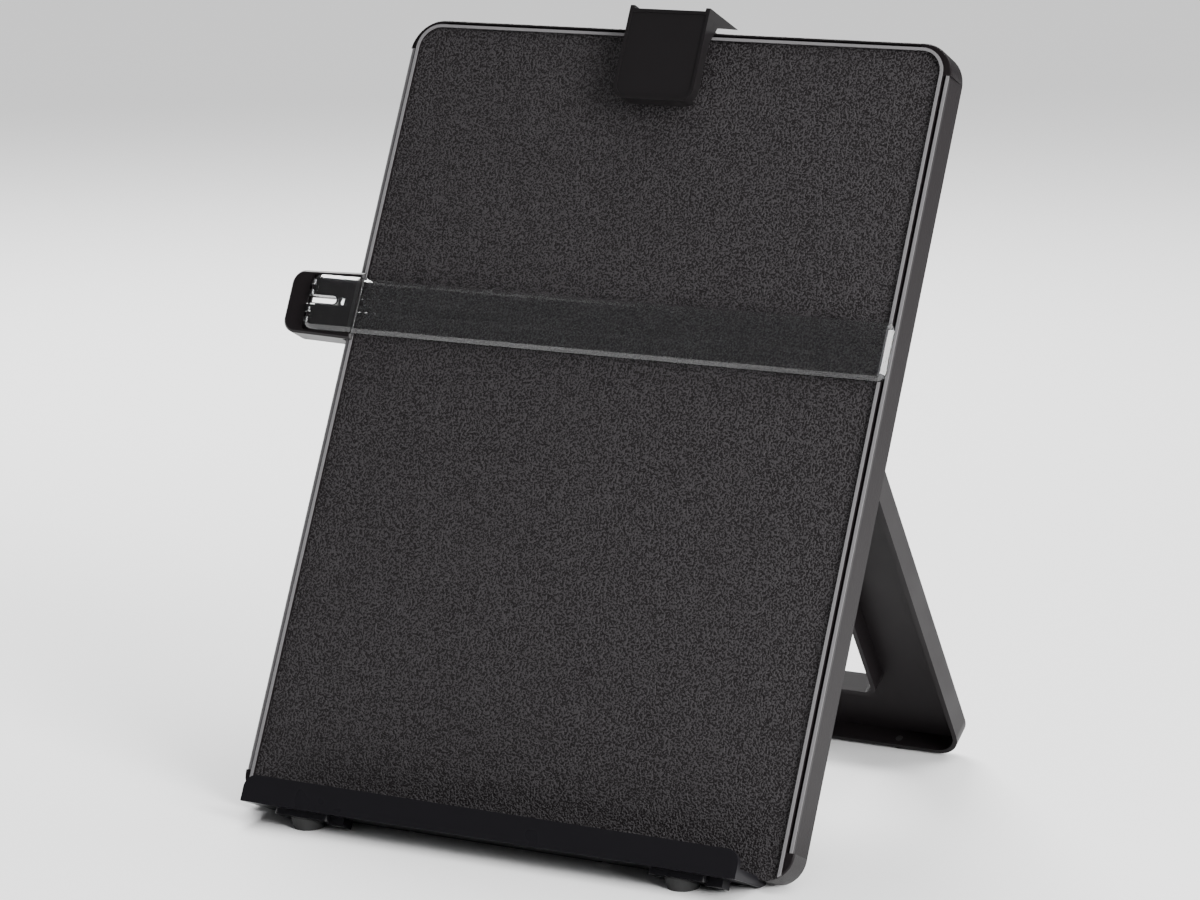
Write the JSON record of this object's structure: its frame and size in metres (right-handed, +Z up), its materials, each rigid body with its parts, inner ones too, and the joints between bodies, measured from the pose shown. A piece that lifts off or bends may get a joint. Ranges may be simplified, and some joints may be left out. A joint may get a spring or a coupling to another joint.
{
  "type": "desk copy holder",
  "caption": "Leaning letter-size copy holder with a paper ledge, a folding easel leg, a sprung paper clip on its top rail and a sliding clear line guide.",
  "frame": {"origin": "centre of the overall width and depth, on the table", "axes": "+Z up, -Y towards the reader, +X to the reader's right; the board leans back along +Y"},
  "size_m": [0.2546, 0.225, 0.2922],
  "materials": {
    "board_plastic": "black, leather-grained on the face, satin rim",
    "ledge_plastic": "black, smooth satin",
    "leg_plastic": "black, fine matte",
    "clip_plastic": "black, fine matte with a smooth border",
    "slider_plastic": "black, smooth satin",
    "clear_plastic": "clear, polished",
    "foot_rubber": "black, matte",
    "grip_rubber": "dark grey, matte",
    "pin_steel": "bright",
    "spring_steel": "bright"
  },
  "bodies": {
    "board_body": {"board": "board_plastic", "ledge": "ledge_plastic", "ledge_screws": "pin_steel", "foot_left": "foot_rubber", "foot_right": "foot_rubber", "leg_pin_left": "pin_steel", "leg_pin_right": "pin_steel"},
    "leg_body": {"easel_leg": "leg_plastic", "leg_foot_left": "foot_rubber", "leg_foot_right": "foot_rubber"},
    "clip_carriage": {"clip_bracket": "clip_plastic", "clip_pin": "clip_plastic", "clip_spring": "spring_steel"},
    "clip_lever": {"clip_jaw": "clip_plastic", "clip_grip": "grip_rubber"},
    "guide_carriage": {"guide_slider": "slider_plastic", "guide_spring": "spring_steel", "guide_pin_upper": "pin_steel", "guide_pin_lower": "pin_steel"},
    "guide_arm": {"guide_bar": "clear_plastic"}
  },
  "joints": [
    {"name": "leg_hinge", "type": "hinge", "parent": "board_body", "child": "leg_body", "pos_m": [0.01365, -0.00393, 0.16698], "axis": [-1, 0, 0], "range_deg": [0, 59]},
    {"name": "clip_slide", "type": "slide", "parent": "board_body", "child": "clip_carriage", "axis": [1, 0, 0], "range_m": [-0.0836, 0.0836]},
    {"name": "clip_hinge", "type": "hinge", "parent": "clip_carriage", "child": "clip_lever", "pos_m": [0.01365, 0.02899, 0.28527], "axis": [-1, 0, 0], "range_deg": [0, 12], "stiffness_Nm_per_rad": 0.05, "springref_deg": -20.05},
    {"name": "guide_slide", "type": "slide", "parent": "board_body", "child": "guide_carriage", "axis": [0, 0.4147, 0.91], "range_m": [-0.1659, 0.0747]},
    {"name": "guide_lift", "type": "hinge", "parent": "guide_carriage", "child": "guide_arm", "pos_m": [-0.11555, -0.02022, 0.17874], "axis": [0, -0.4147, -0.91], "range_deg": [0, 90]}
  ]
}
